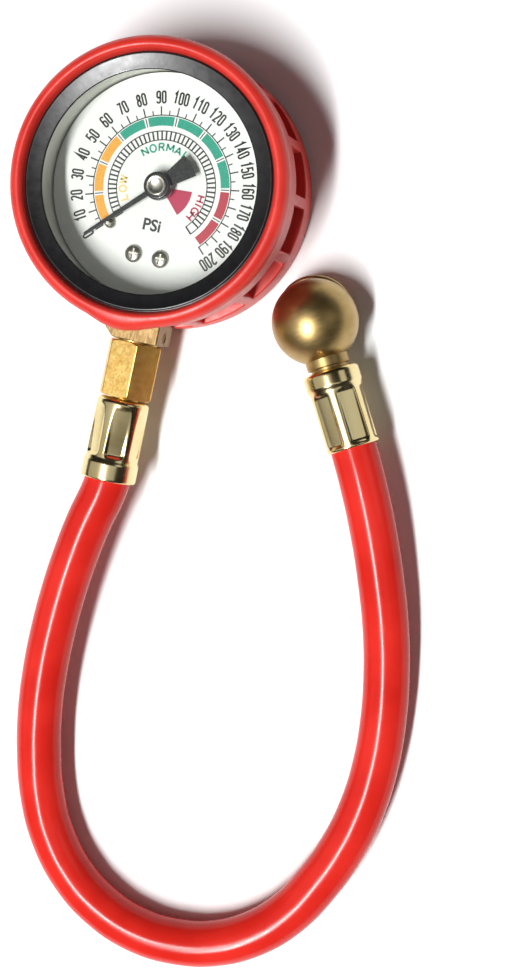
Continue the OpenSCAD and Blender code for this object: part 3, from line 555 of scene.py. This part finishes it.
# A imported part's mesh, merged into whole faces and left open for edits
def copy_of(node, name):
    piece = bpy.data.objects.new(name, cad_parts[node].data.copy())
    bpy.context.scene.collection.objects.link(piece)
    bpy.ops.object.select_all(action="DESELECT")
    bpy.context.view_layer.objects.active = piece
    piece.select_set(True)
    bpy.ops.object.mode_set(mode="EDIT")
    bpy.ops.mesh.select_all(action="SELECT")
    bpy.ops.mesh.remove_doubles(threshold=2e-6)
    bpy.ops.mesh.dissolve_limited(angle_limit=math.radians(1))
    return piece


def block_arris(edge):
    ends = [v.co / mm for v in edge.verts]
    if min(v.y for v in ends) > reaches_past or max(v.y for v in ends) > shows_from:
        return False
    side = all(abs(abs(v.x) - block_half) < 0.02 for v in ends)
    face = all(abs(abs(v.z - stem_z) - block_half_h) < 0.02 for v in ends)
    front = all(v.y < block_end for v in ends)
    return (side and face) or (front and (side or face))


def hex_arris(edge):
    ends = [v.co / mm for v in edge.verts]
    corner = all(abs(math.hypot(v.x, v.z - stem_z) - hex_corner_r) < 0.02 for v in ends)
    return corner and abs(ends[0].y - ends[1].y) > long_edge


block = copy_of("socket_block", "stem_block")
pick(block, "EDGE", block_arris)
bpy.ops.mesh.bevel(offset=0.35 * mm, segments=3, affect="EDGES")
# Painted shade: this brass is painted about a third as bright as the hexagon's. That stands in for
# the gauge's shadow the block lies in and for the shadowed table its faces mirror. Its dullness is
# its higher roughness.
block_brass_painted_shade = material("brass_bar_dull_painted_shade", (0.24, 0.155, 0.07), 0.45, metallic=1.0)
tint(block_brass_painted_shade, grain(block_brass_painted_shade, 500, (4, 1, 4)), (0.17, 0.11, 0.045), (0.30, 0.205, 0.095))
sheen_range(block_brass_painted_shade, grain(block_brass_painted_shade, 1200, (8, 1, 8)), 0.36, 0.54)
relief(block_brass_painted_shade, grain(block_brass_painted_shade, 1000, (4, 0.5, 4)), 0.00005)
dress(block, block_brass_painted_shade, "gauge", ["socket_block"], angle=8)
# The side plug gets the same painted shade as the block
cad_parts["side_plug"].data.materials[0] = block_brass_painted_shade

hexagon = copy_of("hex_coupling", "hexagon")
pick(hexagon, "EDGE", hex_arris)
bpy.ops.mesh.bevel(offset=0.3 * mm, segments=3, affect="EDGES")
hex_brass = material("brass_bar", (0.84, 0.55, 0.17), 0.36, metallic=1.0)
tint(hex_brass, grain(hex_brass, 500), (0.77, 0.48, 0.13), (0.89, 0.61, 0.21))
sheen_range(hex_brass, grain(hex_brass, 1400), 0.3, 0.44)
relief(hex_brass, grain(hex_brass, 1500, (1, 5, 1)), 0.00002)
dress(hexagon, hex_brass, "gauge", ["hex_coupling"], angle=8)

# ---- Bourdon tube ----
# A flat bronze tube bent to a C, soldered in the block at one end and closed by the tip block at
# the other. It opens a little under pressure.
tube = copy_of("bourdon_tube", "pressure_tube")
bpy.ops.object.mode_set(mode="OBJECT")
bpy.ops.object.shade_smooth_by_angle(angle=math.radians(35))
bronze = material("bronze_tube", (0.60, 0.38, 0.19), 0.34, metallic=1.0)
tint(bronze, grain(bronze, 180), (0.52, 0.31, 0.15), (0.68, 0.45, 0.24))
sheen_range(bronze, grain(bronze, 900), 0.28, 0.42)
tube.data.materials.clear()
tube.data.materials.append(bronze)
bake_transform(tube)
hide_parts("bourdon_tube")

# ---- Ferrules ----
# Thin brass sleeves, plated pale and bright. They are rolled in at one end and crimped on
# the hose by six jaws, which leave long rounded panels with soft ridges between them.
sleeve_r, lip, wall_in = 7.4, 0.5, 6.1
panel_half, panel_corner, panel_fade = 3.1, 1.5, 0.9
along_stem = Matrix.Translation((0, 0, stem_z * mm)) @ Matrix.Rotation(math.pi / 2, 4, "X")
chuck_turn = math.radians(30)
chuck_at = Matrix.Translation(Vector((48.5, -27, 12.6)) * mm) @ Matrix.Rotation(chuck_turn, 4, "Z")
along_chuck = chuck_at @ Matrix.Rotation(math.pi / 2, 4, "X")
at_mouth = chuck_at @ Matrix.Rotation(math.radians(210), 4, "X")


def put(piece, place):
    piece.matrix_world = place
    bpy.ops.object.select_all(action="DESELECT")
    bpy.context.view_layer.objects.active = piece
    piece.select_set(True)
    bpy.ops.object.transform_apply(location=True, rotation=True, scale=True)


# The panels run from first to last along the sleeve, and get deeper on the way. It is wider
# past one end of them, and rolled in at z = 0.
def sleeve(name, node, length, first, last, shallow, deep, rolled, wide_at_hose, place):
    def radius(z):
        past = (z - last - 0.3) / 1.2 if wide_at_hose else (first - 0.3 - z) / 1.2
        return sleeve_r + lip * min(max(past, 0), 1)

    rows = round((length - 1.8) / 0.35)
    heights = [1.4 + (length - 1.8) * i / rows for i in range(1, rows + 1)]
    piece = turned(name, [
        (4.05, 0), *arc(radius(0) - 1.4, 1.4, 1.4, 1.4, -90, 0, 8),
        *[(radius(z), z) for z in heights],
        (radius(length) - 0.12, length - 0.1), (radius(length) - 0.4, length), (6.6, length),
        (6.5, length - 3), (wall_in, length - 4), (wall_in, 1), (4.05, 1),
    ], steps=180, closed=True)
    pressed = piece.vertex_groups.new(name="pressed")
    for vert in piece.data.vertices:
        spot = vert.co / mm
        if spot.xy.length < 7 or not first < spot.z < last:
            continue
        angle = (math.degrees(math.atan2(spot.y, spot.x)) - 90 + rolled + 30) % 60 - 30
        side = abs(math.radians(angle) * sleeve_r)
        dx = side - (panel_half - panel_corner)
        dz = abs(spot.z - (first + last) / 2) - ((last - first) / 2 - panel_corner)
        inside = panel_corner - math.hypot(max(dx, 0), max(dz, 0)) - min(max(dx, dz), 0)
        ease = min(max(inside / panel_fade, 0), 1)
        ease = ease * ease * (3 - 2 * ease)
        depth = shallow + (deep - shallow) * (spot.z - first) / (last - first)
        depth = max(depth - side * side / 20, 0) * ease
        if depth > 0:
            pressed.add([vert.index], depth, "REPLACE")
    press = piece.modifiers.new("press", "DISPLACE")
    press.mid_level = 0
    press.strength = -1 * mm
    press.vertex_group = "pressed"
    bpy.ops.object.modifier_apply(modifier="press")
    put(piece, place)
    dress(piece, brass_plate, "gauge", [node], angle=50)


brass_plate = material("brass_plated", (0.80, 0.665, 0.345), 0.14, metallic=1.0)
tint(brass_plate, grain(brass_plate, 120), (0.76, 0.605, 0.295), (0.84, 0.715, 0.395))
sheen_range(brass_plate, grain(brass_plate, 120), 0.17, 0.23)
sleeve("gauge_ferrule", "ferrule_gauge_end", 23.2, 1.8, 16.8, 0.25, 1.05, 20, True,
       along_stem @ Matrix.Translation((0, 0, 59.5 * mm)))
sleeve("ball_ferrule", "ferrule_ball_end", 22.4, 6, 21.6, 0.55, 0.8, 30, False,
       along_chuck @ Matrix.Translation((0, 0, 13.8 * mm)))

# ---- Ball chuck ----
# A ball turned from brass bar, with a grooved neck and a barbed tail for the hose. A flange
# is screwed in its mouth over a rubber seal, with a sprung pin behind it.
ball_r, mouth_w = 12, 7.2
tail_core_r, barb_rise, barb_pitch = 2.4, 0.55, 4.2
bpy.ops.object.select_all(action="DESELECT")
bpy.ops.mesh.primitive_uv_sphere_add(segments=128, ring_count=64, radius=ball_r * mm)
ball = bpy.context.object
ball.name = ball.data.name = "ball"
bpy.ops.object.mode_set(mode="EDIT")
bpy.ops.mesh.select_all(action="SELECT")
bpy.ops.mesh.bisect(plane_co=(0, 0, mouth_w * mm), plane_no=(0, 0, 1), use_fill=True,
                    clear_outer=True)
bpy.ops.object.mode_set(mode="OBJECT")
put(ball, at_mouth)
tail = turned("tail", [
    (6, 8), (6, 12.7), (5.8, 12.95), (5.1, 13.05), (5.1, 13.8), (4, 13.8),
    (4, 16.4), (tail_core_r, 16.4),
    *[(tail_core_r + barb_rise * (k in (1, 2)), 17 + barb_pitch * i + (0, 0.01, 0.6, 3.6)[k])
      for i in range(4) for k in range(4)],
    (tail_core_r, 34),
], steps=96)
put(tail, along_chuck)
cut(ball, tail, "UNION")

# Drilled from the mouth for the flange and for the spring, and from the tail for the air
for r, low, high, place in (
    (6.6, 1.2, 15, at_mouth), (3.2, -6, 2.2, at_mouth), (1.4, 0, 35, along_chuck),
):
    drill = turned("drill", [(r, low), (r, high)], steps=64)
    put(drill, place)
    cut(ball, drill)
bpy.context.view_layer.objects.active = ball
bpy.ops.object.mode_set(mode="EDIT")
bpy.ops.mesh.select_all(action="SELECT")
bpy.ops.mesh.remove_doubles(threshold=2e-6)
bpy.ops.object.mode_set(mode="OBJECT")
ball_brass = material("ball_turned_brass", (0.42, 0.295, 0.12), 0.38, metallic=1.0)
tint(ball_brass, grain(ball_brass, 120), (0.37, 0.255, 0.10), (0.47, 0.335, 0.14))
grooves = grain(ball_brass, 300, (1, 0.08, 1), turn=(0, 0, chuck_turn))
sheen_range(ball_brass, grooves, 0.34, 0.44)
relief(ball_brass, grooves, 0.00001)
dress(ball, ball_brass, "gauge", ["ball_body"])

cap = turned("chuck_flange", [
    (4.2, 4.9), (4.9, 4.9), (4.9, 3.2), (6.55, 3.2), (6.55, 7.2),
    *arc(9.6, 7.9, 0.7, 0.7, -90, 0, 5), *arc(9.6, 8.1, 0.7, 0.7, 0, 90, 5),
    (4.8, 8.8), (4.2, 8.2),
], steps=160, closed=True)
put(cap, at_mouth)
dress(cap, ball_brass, "gauge", ["chuck_cap"])

# ---- Pin spring ----
# Five turns of steel wire behind the pin's collar, in the ball's chamber. Pressing the pin on the
# real chuck squeezes it by a millimetre and a half of its length.
spring = copy_of("chuck_spring", "pin_spring")
dress(spring, steel, "gauge", ["chuck_spring"])
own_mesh(spring)

# ---- Hose ----
# A short length of smooth red PVC air hose, 13 mm thick with a 6.5 mm bore. It is cut
# square and pushed on a barbed tail at each end, under the crimped ferrules.
hose_route = [
    (0, -63, 14), (0, -73, 14), (0, -83, 14), (-0.6, -87, 14), (-2.7, -95, 13.8),
    (-4.8, -106, 13.4), (-6.4, -118, 12.7), (-7.3, -130, 11.8), (-7.5, -142, 10.8),
    (-6.8, -154, 9.7), (-4.9, -166, 8.7), (-1.6, -178.1, 7.8), (3.8, -189.3, 7.1),
    (12, -199, 6.8), (22.4, -206, 6.6), (34.2, -209.7, 6.6), (46.4, -209.8, 6.6),
    (58, -206.8, 6.6), (68.3, -200.7, 6.6), (76.6, -192, 6.6), (82.8, -181.1, 6.6),
    (87.4, -169.6, 6.6), (90.3, -157, 6.7), (91.3, -144, 6.9), (90.7, -131, 7.4),
    (88.8, -118, 8.2), (85.9, -105.4, 9.3), (81.8, -92.5, 10.6), (76.9, -79.6, 11.8),
    (71.4, -67.5, 12.5), (66.5, -58.2, 12.6), (61.5, -49.5, 12.6), (56.5, -40.9, 12.6),
]
hose_d = 13 * mm
gripped, gripped_at = 0.92, (-63, -73)
hose_red = material("hose_red_pvc", (0.62, 0.020, 0.014), 0.2)
hose_red.node_tree.nodes["Principled BSDF"].inputs["Specular IOR Level"].default_value = 0.2
tint(hose_red, grain(hose_red, 60), (0.57, 0.017, 0.011), (0.66, 0.025, 0.017))
sheen_range(hose_red, grain(hose_red, 300), 0.17, 0.23)
relief(hose_red, grain(hose_red, 90, detail=1), 0.00004)

line = bpy.data.curves.new("hose", "CURVE")
line.dimensions = "3D"
line.resolution_u = 6
line.bevel_depth = hose_d / 2
line.bevel_resolution = 14
line.use_fill_caps = True
spline = line.splines.new("BEZIER")
spline.bezier_points.add(len(hose_route) - 1)
for knot, spot in zip(spline.bezier_points, hose_route):
    knot.co = Vector(spot) * mm
    knot.radius = gripped if spot[1] in gripped_at else 1
    knot.handle_left_type = knot.handle_right_type = "AUTO"
hose = bpy.data.objects.new("red_hose", line)
bpy.context.scene.collection.objects.link(hose)
line.materials.append(hose_red)
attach(hose, "gauge")
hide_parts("hose")

# ---- Table and light ----
# A wide sheet of matt white paper, and the lamps over it. They aren't part of the gauge.
bpy.ops.object.select_all(action="DESELECT")
bpy.ops.mesh.primitive_plane_add(size=6, location=(0, 0, 0))
table = bpy.context.object
table.name = "table"
paper = material("table_paper", (0.92, 0.92, 0.92), 0.8)
table.data.materials.append(paper)

scene = bpy.context.scene
scene.view_settings.view_transform = "Standard"
world = bpy.data.worlds.new("studio")
scene.world = world
world.use_nodes = True
background = world.node_tree.nodes["Background"]
background.inputs["Color"].default_value = (1, 0.98, 0.97, 1)
background.inputs["Strength"].default_value = 0.015

# A strip lamp hangs high over the table, with pale cards on the left, overhead and on the
# right: place from the loop's middle, width, height, turn in degrees, watts
loop_middle = Vector((0.03, -0.08, 0))
for name, away, width, height, turn, power in (
    ("strip", (-0.35, -1.28, 3.2), 0.28, 1.8, (0, 0, 12.3), 176),
    ("overhead", (0.4, -0.06, 1.15), 1.0, 0.32, (0, 19, 0), 0.54),
    ("right_card", (0.9, 0.45, 0.75), 0.52, 0.52, (0, 53.2, 26.6), 0.6),
    ("left_card", (-0.8, -0.25, 0.9), 1.5, 0.7, (0, -42.9, 17.4), 1.65),
):
    bpy.ops.object.light_add(
        type="AREA", location=loop_middle + Vector(away),
        rotation=[math.radians(a) for a in turn],
    )
    lamp = bpy.context.object
    lamp.name = name
    lamp.data.shape = "RECTANGLE"
    lamp.data.size = width
    lamp.data.size_y = height
    lamp.data.energy = power
